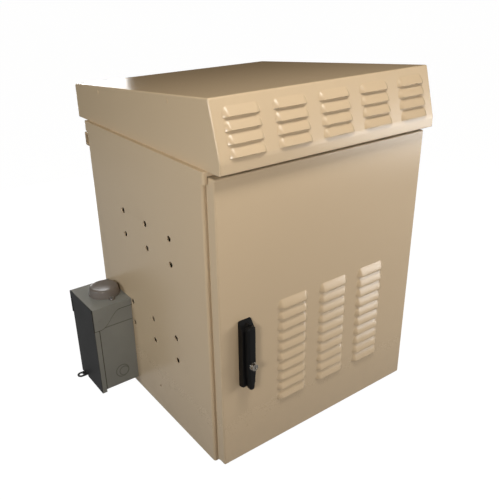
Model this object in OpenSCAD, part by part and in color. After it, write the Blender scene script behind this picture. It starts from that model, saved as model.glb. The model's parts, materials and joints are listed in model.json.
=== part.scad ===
// Roadside utility cabinet: a folded sheet body, a louvred door with a swing handle,
// a ventilated rain hood and a power outlet box on the left wall.
// Millimetres. The origin is the middle of the body's footprint, the front faces -Y and Z is up.

/* [Cabinet body] */
// Width across the side walls
body_w = 625; // [590:1:660]
// Depth from the front flanges to the back wall
body_d = 545; // [510:1:600]
// Height from the ground to the top of the lid
body_h = 726; // [700:1:780]
// Thickness of the body sheet
wall = 3; // [2.5:0.5:3.5]
// Outer radius of the folded corners
bend_r = 6; // [5:0.5:8]
// Reach of the sealing lip forward of the front flanges
lip_reach = 17; // [14:1:19]
// Reach of the outer part of the lip that runs the full height
bead_reach = 4; // [2:0.5:4]
// Clearance between the sealing lip and the door's folded edge
lip_clear = 2; // [1.5:0.5:4]
// Width of the front flange on the hinge side
hinge_flange = 37; // [36:1:44]
// Height of the sill below the door opening
sill_h = 40; // [34:1:50]
// Height of the header above the door opening
header_h = 34; // [28:1:44]

/* [Lid] */
// Height of the skirt that laps the walls
lid_skirt = 26; // [20:1:34]
// Height of the skirt above the door
lid_front_skirt = 10; // [8:1:14]
// Overhang of the lid forward of the front flanges
lid_overhang = 11.5; // [9:0.5:14]
// Width of the air outlet in the lid
vent_w = 380; // [300:10:420]
// Depth of the air outlet in the lid
vent_d = 260; // [200:10:300]

/* [Door] */
// Reveal between the door's edge and the body's side
door_reveal = 7.5; // [6:0.5:10]
// Reveal between the door's edge and the body's bottom
door_drop = 7; // [5:0.5:10]
// Gap between the door's top and the lid's front skirt
door_top_gap = 2; // [1.5:0.5:4]
// Depth of the folded door pan
door_depth = 27; // [26:1:32]
// Gap between the door pan and the front flanges
door_gap = 4.6; // [4.5:0.1:6]
// Thickness of the door sheet
door_sheet = 2.5; // [2:0.5:3]
// Outer radius of the door's vertical bends
door_bend = 4; // [3.5:0.5:6]

/* [Louvers] */
// Height of one louver
louver_h = 20; // [16:1:22]
// Reach of the louver lip from the sheet
louver_reach = 8; // [6:0.5:9]
// Width of a door louver
door_louver_w = 90; // [80:1:100]
// Columns of louvers on the door
door_louver_cols = 3; // [2:1:3]
// Rows of louvers on the door
door_louver_rows = 10; // [4:1:11]
// Spacing of the door's louver columns
door_louver_pitch_x = 126.2; // [112:0.1:130]
// Spacing of the door's louver rows
door_louver_pitch_z = 27.9; // [26:0.1:30]
// Middle of the louver field to the right of the door's middle
door_louver_x = 24.3; // [0:0.1:30]
// Height of the lowest louver lip above the ground
door_louver_z = 127; // [110:1:140]
// Columns of louvers on the hood
hood_louver_cols = 5; // [3:1:5]
// Rows of louvers on the hood
hood_louver_rows = 4; // [2:1:4]
// Distance of the outer hood louvers from the hood's ends
hood_louver_edge = 24.2; // [20:0.1:40]
// Gap between the hood's louver columns
hood_louver_gap = 31.3; // [24:0.1:40]
// Spacing of the hood's louver rows
hood_louver_pitch_s = 25.1; // [24:0.1:26]
// Distance of the lowest hood louver lip above the fold
hood_louver_s = 6; // [5:0.5:10]

/* [Hinge] */
// Diameter of the hinge pin
hinge_pin_d = 5; // [4:0.5:6]
// Outer radius of the hinge knuckles
knuckle_r = 4.3; // [4:0.1:4.6]
// Thickness of the hinge leaves
leaf_t = 2; // [1.5:0.25:2]
// Number of knuckles along the hinge
knuckle_count = 11; // [7:2:15]
// Distance of the hinge's ends from the door's ends
hinge_end = 22; // [18:1:40]
// Radial clearance of turning fits
run_clear = 0.05; // [0.02:0.01:0.1]
// Clearance between neighbouring moving faces
face_clear = 0.4; // [0.3:0.1:0.6]

/* [Handle and latch] */
// Distance of the handle's middle from the door's latch edge
handle_inset = 64; // [56:1:80]
// Height of the handle's pivot above the ground
handle_z = 373; // [340:1:440]
// Length of the housing
housing_l = 171; // [160:1:190]
// Width of the housing
housing_w = 34; // [30:1:38]
// Depth of the housing
housing_t = 16.5; // [14:0.5:18]
// Length of the wedge at the housing's top
housing_ramp = 21; // [18:1:30]
// Distance of the housing's top above the pivot
housing_over = 13.5; // [12:0.5:16]
// Width of the lever
lever_w = 22; // [20:1:26]
// Thickness of the lever
lever_t = 13.5; // [12:0.5:15]
// Length of the lever below its pivot
lever_l = 159; // [140:1:175]
// Chamfer along the lever's front edges
lever_chamfer = 4; // [2:0.5:5]
// Diameter of the handle spindle
spindle_d = 12; // [10:0.5:14]
// Diameter of the lever's cross pin
lever_pin_d = 4; // [3:0.5:5]
// Distance of the lock below the pivot
lock_drop = 92; // [70:1:110]
// Diameter of the lock barrel
lock_d = 16; // [14:0.5:18]
// Reach of the lock barrel from the lever's face
lock_reach = 9; // [5:0.5:12]
// Thickness of the latch cam
cam_t = 4; // [3:0.5:5]
// Gap between the thrown cam and the side wall
cam_clear = 3.5; // [2:0.5:6]
// Thickness of the latch keeper
keeper_t = 2; // [1.5:0.5:3]

/* [Hood] */
// Distance of the hood's ends inside the body's sides
hood_in = 7; // [3:0.5:12]
// Thickness of the hood sheet
hood_t = 2.5; // [2:0.5:3]
// Overhang of the hood forward of the door's face
hood_front = 23; // [15:1:30]
// Overhang of the hood behind the back wall
hood_back = 59; // [40:1:70]
// Height of the hood's upright front lip
hood_lip = 24; // [18:1:30]
// Height of the hood's leaning fascia
fascia_h = 115; // [112:1:130]
// Lean of the fascia from its fold to its top
fascia_lean = 33.4; // [20:0.1:40]
// Height of the hood's back wall
hood_back_h = 83; // [70:1:95]
// Outer radius of the hood's bends
hood_bend = 4; // [3.5:0.5:6]
// Width of the hood's inner foot flanges
hood_foot = 22; // [18:1:30]
// Distance of the front brace behind the body's front
brace_front = 117; // [80:1:160]
// Distance of the back brace before the body's back
brace_back = 93; // [60:1:140]
// Spacing of the hood's screws
hood_screw_pitch = 220; // [150:5:230]

/* [Side holes] */
// Diameter of the accessory holes in the left wall
side_hole_d = 14.3; // [10:0.1:16]
// Spacing of the hole columns
side_pitch_y = 112.7; // [100:0.1:116]
// Spacing of the hole rows
side_pitch_z = 63.5; // [50:0.5:70]
// Middle column of the holes behind the body's middle
side_holes_y = -11.5; // [-30:0.5:10]
// Height of the middle of the upper holes
side_upper_z = 501; // [460:1:540]
// Height of the middle of the lower holes
side_lower_z = 241.5; // [220:0.5:256]
// Diameter of the small earth hole low in the left wall
earth_hole_d = 6.5; // [5:0.5:8]
// Place of the earth hole along the wall, from its middle towards the back
earth_hole_y = -20.5; // [-40:0.5:10]
// Height of the earth hole
earth_hole_z = 71.5; // [55:0.5:90]

/* [Rear rails] */
// Height of a rear mounting rail
rear_rail_h = 35; // [32:1:45]
// Depth of a rear mounting rail
rear_rail_d = 20; // [15:1:30]
// Distance of the rails' ends inside the body's sides
rear_rail_in = 2; // [2:0.5:20]
// Height of the lower rail's middle
rear_low_z = 80; // [50:1:120]
// Distance of the upper rail's middle below the lid
rear_high_drop = 50; // [46:1:90]
// Diameter of the bolt holes in the rails
rear_hole_d = 13; // [9:0.5:14]
// Distance of the bolt holes from the rails' ends
rear_hole_in = 56.5; // [30:0.5:80]

/* [Inside] */
// Height of the equipment shelf
shelf_z = 330; // [300:1:400]
// Depth of the equipment shelf
shelf_d = 400; // [300:5:410]
// Thickness of the shelf and its brackets
shelf_t = 2; // [1.5:0.5:3]
// Spacing of the rack rails' hole lines
rack_pitch = 465; // [440:1:480]
// Width of a rack rail's flange
rack_flange = 32; // [28:1:40]
// Length of the ground bar
ground_l = 260; // [180:5:320]
// Diameter of the cable entries in the floor
entry_d = 60; // [40:1:70]
// Spacing of the cable entries
entry_pitch = 120; // [100:1:130]
// Distance of the anchor holes inside the side walls
anchor_in_x = 62.5; // [50:0.5:80]
// Distance of the anchor holes inside the front and the back
anchor_in_y = 72.5; // [60:0.5:100]
// Distance of the cable entries from the back wall
entry_back = 96; // [80:1:110]
// Height of the ground bar above the floor
ground_rise = 75; // [50:1:120]
// Distance of the rack rails behind the front flanges
rack_back = 50; // [40:1:90]
// Gap between the shelf and the back wall
shelf_back_gap = 30; // [20:1:60]
// Diameter of the anchor holes
anchor_d = 14; // [10:0.5:18]

/* [Outlet box] */
// Width of the outlet box along the wall
box_w = 144; // [130:1:150]
// Reach of the outlet box from the wall
box_reach = 113.5; // [108:0.5:125]
// Height of the outlet box
box_h = 256; // [240:1:270]
// Height of the outlet box's floor above the ground
box_z = 23; // [20:1:30]
// Middle of the outlet box behind the body's middle
box_y = 182.4; // [170:0.1:190]
// Thickness of the outlet box sheet
box_t = 1.5; // [1.25:0.25:2]
// Gap between the nested sheets of the outlet box
box_gap = 0.4; // [0.3:0.1:0.6]
// Height of the cap's skirt over the cover
cap_skirt = 18; // [14:1:20]
// Height of the cap's wings at the wall
cap_wing_high = 20; // [16:1:26]
// Height of the cap's wings at the cover
cap_wing_low = 66; // [60:1:72]
// Drop of the cover's pivot below the cap
pivot_drop = 39; // [36:1:44]
// Distance of the cover's pivot behind the box's face
pivot_back = 21.4; // [18:0.1:26]
// Diameter of the pivot rivets
pivot_d = 6; // [5:0.5:8]
// Width of the cover's side flanges
cover_flange = 13.5; // [10:0.5:15]
// Reach of the cover below the box's floor
cover_drop = 7.4; // [6:0.1:10]
// Distance of the hub's middle from the wall
hub_off = 43; // [43:0.5:48]
// Radius of the hub's round flange
hub_r = 42; // [34:0.5:42]
// Height of the hub above the cap
hub_h = 22; // [15:1:26]
// Height of the conduit nipple above the box's floor
nipple_rise = 120; // [100:1:140]
// Height of the receptacle above the box's floor
recept_rise = 78; // [60:1:84]
// Height of the breaker above the box's floor
breaker_rise = 165; // [155:1:170]
// Distance of the padlock tab from the box's middle
tab_off = 42; // [20:1:50]

/* [Hidden] */

$fn = 64;
over = 1;

cream = "#D9C3A0";
zinc = "#B4B8BA";
steel = "#C8CCD0";
black = "#1E1E20";
grey = "#66665C";
rubber = "#2A2A2A";
copper = "#B87A4A";
foam = "#55585A";

// Planes of the body
front_y = -body_d / 2;
back_y = body_d / 2;
side_x = body_w / 2;
inner_x = side_x - wall;
lid_z = body_h - wall;
floor_z = wall;

// Door and its opening
door_w = body_w - 2 * door_reveal;
door_back = front_y - door_gap;
door_front = door_back - door_depth;
door_inner = door_front + door_sheet;
door_top = body_h - lid_front_skirt - door_top_gap;
door_h = door_top - door_drop;
latch_flange = door_reveal + door_sheet + lip_clear + wall;
opening_left = -side_x + latch_flange;
opening_right = side_x - hinge_flange;
lip_low = sill_h;
lip_high = lid_z - header_h;
lip_front = front_y - lip_reach;

// Hinge axis and knuckles
hinge_x = door_w / 2 - door_sheet - leaf_t + knuckle_r;
hinge_y = front_y - knuckle_r - face_clear;
hinge_low = door_drop + hinge_end;
hinge_l = door_h - 2 * hinge_end;
knuckle_l = hinge_l / knuckle_count;
relief_y = hinge_y - knuckle_r - 2 * face_clear;
leaf_x0 = opening_right + wall + 2 * face_clear;
leaf_edge = hinge_x - knuckle_r - 2 * face_clear;
hinge_rivet_x = (leaf_x0 + leaf_edge) / 2;
screw_head_t = 3;
screw_grip = 6;
rivet_r = 2.4;
rivet_head_r = 4.5;
rivet_head_t = 1.2;
hinge_rivets = 8;

// Handle
handle_x = -door_w / 2 + handle_inset;
housing_top = handle_z + housing_over;
housing_front = door_front - housing_t;
lever_back = housing_front - face_clear;
lever_front = lever_back - lever_t;
eye_r = lever_t / 2 - 3;
pin_y = lever_back - lever_t / 2;
lever_top_r = lever_t / 2;
spindle_wall = 5;
boss_r = spindle_d / 2 + spindle_wall;
boss_l = 14;
nut_flat = 2 * boss_r + 8;
nut_t = 6;
square_w = spindle_d * 2 / 3;
keeper_back = front_y + wall + keeper_t;
cam_front = keeper_back + 2 * face_clear;
cam_reach = inner_x - door_w / 2 + handle_inset - cam_clear;
cam_hub_r = 11;
cam_tip_r = 7;
lock_z = handle_z - lock_drop;
lock_wall = 2.5;
plug_r = lock_d / 2 - lock_wall;

// Hood section in Y and Z
hood_w = body_w - 2 * hood_in;
hood_louver_span = hood_w - 2 * hood_louver_edge - (hood_louver_cols - 1) * hood_louver_gap;
hood_louver_w = hood_louver_span / hood_louver_cols;
hood_louver_pitch_x = hood_louver_w + hood_louver_gap;
hood_low = body_h;
hood_y0 = door_front - hood_front;
hood_y1 = back_y + hood_back;
hood_fold = hood_low + hood_lip;
hood_top = hood_fold + fascia_h;
fascia_y = hood_y0 + fascia_lean;
fascia_angle = atan2(fascia_lean, fascia_h);
hood_outline = [[hood_y0, hood_low - over], [hood_y1, hood_low - over], [hood_y1, hood_low + hood_back_h],
                [fascia_y, hood_top], [hood_y0, hood_fold]];
brace_y = [front_y + brace_front, back_y - brace_back];
brace_drop = 15;
brace_h = 20;
brace_t = 2;
brace_tab = 22;

// Outlet box planes
box_face = -side_x - box_reach;
box_top = box_z + box_h;
cap_half = box_w / 2;
cover_half = cap_half - box_t - box_gap;
base_half = cover_half - box_t - box_gap;
cover_face = box_face + box_t + box_gap;
base_front = cover_face + box_t + 2;
pivot_x = box_face + pivot_back;
pivot_z = box_top - pivot_drop;
hub_x = -side_x - hub_off;
nipple_z = box_z + nipple_rise;
nipple_r = 16.5;
tab_y = box_y + tab_off;
tab_w = 22;
tab_t = 3;
tab_reach = 24;
tab_hole_r = 5.5;

// Points of an outline, moved inwards, and the points where its rounded corners begin and end
function unit(v) = v / norm(v);
function inward(a, b) = let (d = unit(b - a)) [-d[1], d[0]];
function corner(p, i, t) =
    let (n = len(p), before = inward(p[(i + n - 1) % n], p[i]), after = inward(p[i], p[(i + 1) % n]))
    p[i] + t * (before + after) / (1 + before * after);
function inset(p, t) = [for (i = [0:len(p) - 1]) corner(p, i, t)];
function tangents(p, r) =
    let (n = len(p))
    [for (i = [0:n - 1])
        for (edge = [inward(p[(i + n - 1) % n], p[i]), inward(p[i], p[(i + 1) % n])])
            corner(p, i, r) - r * edge];

// Height of the hood's roof at a depth
function roof_z(y) =
    hood_top + (y - fascia_y) * (hood_low + hood_back_h - hood_top) / (hood_y1 - fascia_y);

module rounded_polygon(p, r) {
    polygon(tangents(p, r));
    for (c = inset(p, r)) translate(c) circle(r);
}

module rounded_rect(w, d, r) {
    square([w - 2 * r, d], center = true);
    square([w, d - 2 * r], center = true);
    for (x = [-1, 1], y = [-1, 1]) translate([x * (w / 2 - r), y * (d / 2 - r)]) circle(r);
}

// A box given by its low and high corners
module block(low, high) {
    translate(low) cube(high - low);
}

// A round bar along X, along Y, with its first end at the given point
module bar_x(p, l, r) {
    translate(p) rotate([0, 90, 0]) cylinder(h = l, r = r);
}

module bar_y(p, l, r) {
    translate(p) rotate([-90, 0, 0]) cylinder(h = l, r = r);
}

// A profile drawn in Y and Z, carried along X about the middle
module along_x(l) {
    translate([-l / 2, 0, 0]) rotate([90, 0, 90]) linear_extrude(l) children();
}

// Louver: half section of a cap whose round back meets the sheet, open along its lip
module louver_section(skin, depth) {
    arc_r = (louver_h * louver_h + louver_reach * louver_reach) / (2 * louver_reach);
    intersection() {
        translate([0, louver_reach - arc_r]) circle(arc_r - skin, $fn = 96);
        translate([0, -depth]) square([2 * louver_h, louver_reach + depth + over]);
    }
}

// The lip runs along X at the origin, the louver rises along Z and stands out along -Y
module louver(w, skin, depth) {
    straight = w - 2 * louver_h;
    translate([-straight / 2, 0, 0]) rotate([180, -90, 0]) linear_extrude(straight)
        louver_section(skin, depth);
    translate([straight / 2, 0, 0]) rotate([90, 0, 0]) rotate_extrude(angle = 90)
        louver_section(skin, depth);
    translate([-straight / 2, 0, 0]) rotate([90, 0, 0]) rotate([0, 0, 90]) rotate_extrude(angle = 90)
        louver_section(skin, depth);
}

module door_louver_places() {
    for (i = [0:door_louver_cols - 1], k = [0:door_louver_rows - 1])
        translate([door_louver_x + (i - (door_louver_cols - 1) / 2) * door_louver_pitch_x, door_front,
                   door_louver_z + k * door_louver_pitch_z]) children();
}

module hood_louver_places() {
    for (i = [0:hood_louver_cols - 1], k = [0:hood_louver_rows - 1])
        translate([(i - (hood_louver_cols - 1) / 2) * hood_louver_pitch_x, hood_y0, hood_fold])
            rotate([-fascia_angle, 0, 0])
                translate([0, 0, hood_louver_s + k * hood_louver_pitch_s]) children();
}

// Places on the left wall, seen along X
module side_hole_places() {
    for (z = [side_lower_z, side_upper_z], i = [-1, 0, 1], k = [-0.5, 0.5])
        translate([-side_x, side_holes_y + i * side_pitch_y, z + k * side_pitch_z]) children();
}

box_screw_inset = 22;
module box_screw_places() {
    for (y = [-1, 1], z = [box_z + box_screw_inset, box_top - 2 * box_screw_inset])
        translate([-side_x, box_y + y * (base_half - box_screw_inset), z]) children();
}

module hinge_rivet_heights() {
    for (i = [0:hinge_rivets - 1])
        translate([0, 0, hinge_low + (i + 0.5) * hinge_l / hinge_rivets]) children();
}

module body_shell() color(cream) {
    difference() {
        linear_extrude(lid_z) difference() {
            rounded_rect(body_w, body_d, bend_r);
            rounded_rect(body_w - 2 * wall, body_d - 2 * wall, bend_r - wall);
            translate([opening_left, front_y - over])
                square([opening_right - opening_left, wall + 2 * over]);
        }
        side_hole_places() bar_x([-over, 0, 0], wall + 2 * over, side_hole_d / 2);
        box_screw_places() bar_x([-over, 0, 0], wall + 2 * over, box_screw_r + run_clear);
        bar_x([-side_x - over, box_y, nipple_z], wall + 2 * over, nipple_r + run_clear);
        bar_x([-side_x - over, earth_hole_y, earth_hole_z], wall + 2 * over, earth_hole_d / 2);
        hinge_rivet_heights()
            bar_y([hinge_rivet_x, front_y - over, 0], wall + 2 * over, rivet_r + run_clear);
    }
    // Outer bead of the lip over the full height, and the sealing lip inside the door
    for (x = [opening_left - wall, opening_right]) {
        block([x, front_y - bead_reach, 0], [x + wall, front_y + wall, lid_z]);
        block([x, lip_front, lip_low - wall], [x + wall, front_y, lip_high + wall]);
    }
}

module base_plate() color(cream) {
    difference() {
        linear_extrude(wall) rounded_rect(body_w - 2 * wall, body_d - 2 * wall, bend_r);
        entry_places() translate([0, 0, -over]) cylinder(h = wall + 2 * over, r = entry_d / 2);
        for (x = [-1, 1], y = [-1, 1])
            translate([x * (body_w / 2 - anchor_in_x), y * (body_d / 2 - anchor_in_y), -over])
                cylinder(h = wall + 2 * over, r = anchor_d / 2);
    }
}

module entry_places() {
    for (i = [-1, 0, 1]) translate([i * entry_pitch, back_y - entry_back, 0]) children();
}

module door_sill() color(cream) {
    block([opening_left, front_y, 0], [opening_right, front_y + wall, lip_low]);
    block([opening_left, lip_front, lip_low - wall], [opening_right, front_y, lip_low]);
}

module door_header() color(cream) {
    block([opening_left, front_y, lip_high], [opening_right, front_y + wall, lid_z]);
    block([opening_left, lip_front, lip_high], [opening_right, front_y, lip_high + wall]);
}

hood_screw_r = 2.5;
hood_screw_x = hood_w / 2 - hood_t - hood_foot / 2;
module hood_screw_places() {
    for (x = [-1, 1], i = [-1, 0, 1])
        translate([x * hood_screw_x, i * hood_screw_pitch, body_h]) children();
}

module lid() color(cream) {
    w = body_w + 2 * wall;
    d = body_d + wall + lid_overhang;
    mid_y = (wall - lid_overhang) / 2;
    low = body_h - lid_skirt;
    corner_x = door_w / 2 + door_reveal / 4;
    difference() {
        translate([0, mid_y, low]) linear_extrude(lid_skirt) rounded_rect(w, d, bend_r);
        translate([0, 0, low - over]) linear_extrude(lid_skirt - wall + over) {
            rounded_rect(body_w, body_d, bend_r);
            translate([-side_x, front_y - lid_overhang + wall])
                square([body_w, lid_overhang - wall + bend_r]);
        }
        // The skirt is cut away above the door and where the door swings at its hinge
        block([-corner_x, front_y - lid_overhang - over, low - over],
              [w, front_y, body_h - lid_front_skirt]);
        translate([0, 0, lid_z - over]) linear_extrude(wall + 2 * over)
            square([vent_w, vent_d], center = true);
        hood_screw_places() translate([0, 0, -wall - over])
            cylinder(h = wall + 2 * over, r = hood_screw_r + run_clear);
    }
}

screen_edge = 20;
screen_t = 2;
screen_rows = 10;
screen_cols = 6;
screen_bar = 8;
module vent_screen() color(zinc) {
    slot_w = (vent_w - (screen_cols + 1) * screen_bar) / screen_cols;
    slot_d = (vent_d - (screen_rows + 1) * screen_bar) / screen_rows;
    difference() {
        translate([0, 0, lid_z - screen_t]) linear_extrude(screen_t)
            rounded_rect(vent_w + 2 * screen_edge, vent_d + 2 * screen_edge, screen_edge / 4);
        for (i = [0:screen_cols - 1], k = [0:screen_rows - 1])
            translate([-vent_w / 2 + screen_bar + i * (slot_w + screen_bar),
                       -vent_d / 2 + screen_bar + k * (slot_d + screen_bar), lid_z - screen_t - over])
                cube([slot_w, slot_d, screen_t + 2 * over]);
    }
}

module hood_shell() color(cream) {
    foot_y0 = front_y + bend_r;
    foot_y1 = back_y - bend_r;
    hem = hood_foot / 2;
    difference() {
        union() {
            difference() {
                along_x(hood_w) rounded_polygon(hood_outline, hood_bend);
                along_x(hood_w - 2 * hood_t)
                    rounded_polygon(inset(hood_outline, hood_t), hood_bend - hood_t);
                // The hood is open below
                block([-hood_w / 2 + hood_t, hood_y0 + hood_t, hood_low - 2 * over],
                      [hood_w / 2 - hood_t, hood_y1 - hood_t, hood_low + hood_bend]);
                block([-hood_w, hood_y0 - over, hood_low - 2 * over], [hood_w, hood_y1 + over, hood_low]);
            }
            for (x = [-1, 1]) {
                inside = x * (hood_w / 2 - hood_t);
                block([min(inside, inside - x * hood_foot), foot_y0, hood_low],
                      [max(inside, inside - x * hood_foot), foot_y1, hood_low + hood_t]);
            }
            block([-hood_w / 2 + hood_t, hood_y0 + hood_t, hood_low],
                  [hood_w / 2 - hood_t, hood_y0 + hood_t + hem, hood_low + hood_t]);
            block([-hood_w / 2 + hood_t, hood_y1 - hood_t - hem, hood_low],
                  [hood_w / 2 - hood_t, hood_y1 - hood_t, hood_low + hood_t]);
            hood_louver_places() louver(hood_louver_w, 0, hood_t / 2);
        }
        hood_louver_places() louver(hood_louver_w, hood_t, hood_t + over);
        hood_screw_places() translate([0, 0, -over])
            cylinder(h = hood_t + 2 * over, r = hood_screw_r + run_clear);
        hood_rivet_places() bar_x([-over, 0, 0], hood_t + 2 * over, rivet_r + run_clear);
    }
}

// Rivet places on both hood sides: each starts at the outer face and points inwards
module hood_rivet_places() {
    for (y = brace_y, side = [0, 1])
        mirror([side, 0, 0]) translate([-hood_w / 2, y + brace_tab / 2, roof_z(y) - brace_drop]) children();
}

module hood_braces() color(zinc) {
    half = hood_w / 2 - hood_t;
    for (y = brace_y) {
        z = roof_z(y) - brace_drop;
        difference() {
            union() {
                block([-half, y, z - brace_h / 2], [half, y + brace_t, z + brace_h / 2]);
                for (x = [-half, half - brace_t])
                    block([x, y, z - brace_h / 2], [x + brace_t, y + brace_tab, z + brace_h / 2]);
            }
            translate([0, y + brace_tab / 2, z]) rotate([0, 90, 0])
                cylinder(h = hood_w, r = rivet_r + run_clear, center = true);
        }
    }
}

module hood_rivets() color(cream) {
    hood_rivet_places() {
        bar_x([-rivet_head_t, 0, 0], rivet_head_t, rivet_head_r);
        bar_x([0, 0, 0], hood_t + brace_t, rivet_r);
        bar_x([hood_t + brace_t, 0, 0], rivet_head_t, rivet_head_r);
    }
}

module hood_screws() color(steel) {
    hood_screw_places() {
        translate([0, 0, hood_t]) cylinder(h = screw_head_t, r = 2 * hood_screw_r);
        translate([0, 0, -wall - screw_grip])
            cylinder(h = wall + screw_grip + hood_t, r = hood_screw_r);
    }
}

// Rear mounting rail: a channel welded to the back wall by its two edges
rear_rail_l = body_w - 2 * rear_rail_in;
module rear_rail(z) color(cream) {
    r = wall;
    difference() {
        along_x(rear_rail_l) translate([back_y, z]) difference() {
            translate([rear_rail_d / 2 - r / 2, 0]) rounded_rect(rear_rail_d + r, rear_rail_h, r);
            translate([rear_rail_d / 2 - wall, 0])
                square([rear_rail_d, rear_rail_h - 2 * wall], center = true);
            translate([-rear_rail_d, -rear_rail_h]) square([rear_rail_d, 2 * rear_rail_h]);
        }
        for (x = [-1, 1])
            bar_y([x * (rear_rail_l / 2 - rear_hole_in), back_y + rear_rail_d - wall - over, z],
                  wall + 2 * over, rear_hole_d / 2);
    }
}

module rear_rail_upper() { rear_rail(body_h - rear_high_drop); }

module rear_rail_lower() { rear_rail(rear_low_z); }

rack_y = front_y + rack_back;
rack_depth = 30;
rack_t = 2.5;
rack_hole = 9.5;
rack_unit = 44.45;
module rack_rail(side) color(zinc) {
    x_hole = side * rack_pitch / 2;
    x0 = x_hole - rack_flange / 2;
    x1 = x_hole + rack_flange / 2;
    web_x = side > 0 ? x1 - rack_t : x0;
    holes = floor((lid_z - floor_z) / rack_unit) - 1;
    difference() {
        union() {
            block([x0, rack_y, floor_z], [x1, rack_y + rack_t, lid_z]);
            block([web_x, rack_y, floor_z], [web_x + rack_t, rack_y + rack_depth, lid_z]);
        }
        for (i = [0:holes])
            translate([x_hole, rack_y, floor_z + (i + 0.5) * rack_unit])
                cube([rack_hole, 4 * rack_t, rack_hole], center = true);
        // room for the hood screws' ends where a narrow body brings them over the rail
        hood_screw_places() translate([0, 0, -wall - screw_grip - run_clear])
            cylinder(h = wall + screw_grip + run_clear, r = hood_screw_r + run_clear);
    }
}

module rack_rail_left() { rack_rail(-1); }

module rack_rail_right() { rack_rail(1); }

shelf_y1 = back_y - wall - shelf_back_gap;
shelf_y0 = shelf_y1 - shelf_d;
bracket_w = 26;
shelf_edge = 22;
module shelf_brackets() color(zinc) {
    for (side = [0, 1]) mirror([side, 0, 0]) {
        block([-inner_x, shelf_y0 + bracket_w, shelf_z - bracket_w],
              [-inner_x + shelf_t, shelf_y1 - bracket_w, shelf_z]);
        block([-inner_x, shelf_y0 + bracket_w, shelf_z - shelf_t],
              [-inner_x + bracket_w, shelf_y1 - bracket_w, shelf_z]);
    }
}

module equipment_shelf() color(cream) {
    half = inner_x - 1;
    block([-half, shelf_y0, shelf_z], [half, shelf_y1, shelf_z + shelf_t]);
    for (y = [shelf_y0, shelf_y1 - shelf_t])
        block([-half, y, shelf_z - shelf_edge], [half, y + shelf_t, shelf_z]);
}

ground_z = floor_z + ground_rise;
ground_t = 6;
ground_h = 25;
ground_off = 22;
ground_holes = 8;
ground_screw_r = 3;
ground_post_r = 8;
module ground_post_places() {
    for (x = [-1, 1])
        translate([x * (ground_l / 2 - ground_h / 2), back_y - wall - ground_off, ground_z]) children();
}

module ground_standoffs() color("#8C2F26") {
    ground_post_places() difference() {
        bar_y([0, 0, 0], ground_off, ground_post_r);
        bar_y([0, -over, 0], ground_off / 2 + over, ground_screw_r + run_clear);
    }
}

module ground_bar() color(copper) {
    y1 = back_y - wall - ground_off;
    difference() {
        block([-ground_l / 2, y1 - ground_t, ground_z - ground_h / 2],
              [ground_l / 2, y1, ground_z + ground_h / 2]);
        for (i = [1:ground_holes])
            bar_y([-ground_l / 2 + ground_h + (i - 0.5) * (ground_l - 2 * ground_h) / ground_holes,
                   y1 - ground_t - over, ground_z], ground_t + 2 * over, ground_screw_r);
        ground_post_places()
            bar_y([0, -ground_t - over, 0], ground_t + 2 * over, ground_screw_r + run_clear);
    }
}

module ground_screws() color(steel) {
    ground_post_places() {
        bar_y([0, -ground_t - 4, 0], 4, 2 * ground_screw_r);
        bar_y([0, -ground_t, 0], ground_t + ground_off / 2 - over, ground_screw_r);
    }
}

grommet_wall = 4;
grommet_lip = 5;
module cable_grommets() color(rubber) {
    r = entry_d / 2;
    entry_places() rotate_extrude()
        polygon([[r - grommet_wall, 0], [r, 0], [r, floor_z], [r + grommet_lip, floor_z],
                 [r + grommet_lip, floor_z + grommet_lip / 2], [r - grommet_wall, floor_z + grommet_lip]]);
}

// Knuckles of one hinge leaf: every second one, with a strip that ties each to its leaf
module knuckles(first) {
    for (i = [first:2:knuckle_count - 1])
        translate([hinge_x, hinge_y, hinge_low + i * knuckle_l + face_clear / 2]) {
            cylinder(h = knuckle_l - face_clear, r = knuckle_r);
            children();
        }
}

module hinge_bore() {
    translate([hinge_x, hinge_y, hinge_low - over])
        cylinder(h = hinge_l + 2 * over, r = hinge_pin_d / 2 + run_clear);
}

module hinge_leaf_body() color(steel) {
    difference() {
        union() {
            block([leaf_x0, front_y - leaf_t, hinge_low], [leaf_edge, front_y, hinge_low + hinge_l]);
            knuckles(0) block([leaf_edge - hinge_x - over, front_y - leaf_t - hinge_y, 0],
                              [0, knuckle_r + face_clear, knuckle_l - face_clear]);
        }
        hinge_bore();
        hinge_rivet_heights() bar_y([hinge_rivet_x, front_y - leaf_t - over, 0], leaf_t + 2 * over,
                                    rivet_r + run_clear);
    }
}

module hinge_rivets_body() color(steel) {
    hinge_rivet_heights() {
        bar_y([hinge_rivet_x, front_y - leaf_t - rivet_head_t, 0], rivet_head_t, rivet_head_r);
        bar_y([hinge_rivet_x, front_y - leaf_t, 0], leaf_t + wall, rivet_r);
        bar_y([hinge_rivet_x, front_y + wall, 0], rivet_head_t, rivet_head_r);
    }
}

module hinge_pin() color(steel) {
    translate([hinge_x, hinge_y, 0]) {
        translate([0, 0, hinge_low]) cylinder(h = hinge_l, r = hinge_pin_d / 2);
        for (z = [hinge_low - rivet_head_t, hinge_low + hinge_l])
            translate([0, 0, z]) cylinder(h = rivet_head_t, r = knuckle_r - face_clear);
    }
}

leaf_x1 = door_w / 2 - door_sheet;
leaf_y0 = door_inner + door_bend;
leaf_rivet_y = (leaf_y0 + relief_y) / 2;
module hinge_leaf_door() color(steel) {
    edge = hinge_y - knuckle_r - 2 * face_clear;
    difference() {
        union() {
            block([leaf_x1 - leaf_t, leaf_y0, hinge_low], [leaf_x1, edge, hinge_low + hinge_l]);
            knuckles(1) block([leaf_x1 - leaf_t - hinge_x, edge - hinge_y - over, 0],
                              [leaf_x1 - hinge_x, 0, knuckle_l - face_clear]);
        }
        hinge_bore();
        hinge_rivet_heights() bar_x([leaf_x1 - leaf_t - over, leaf_rivet_y, 0], leaf_t + 2 * over,
                                    rivet_r + run_clear);
    }
}

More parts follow.
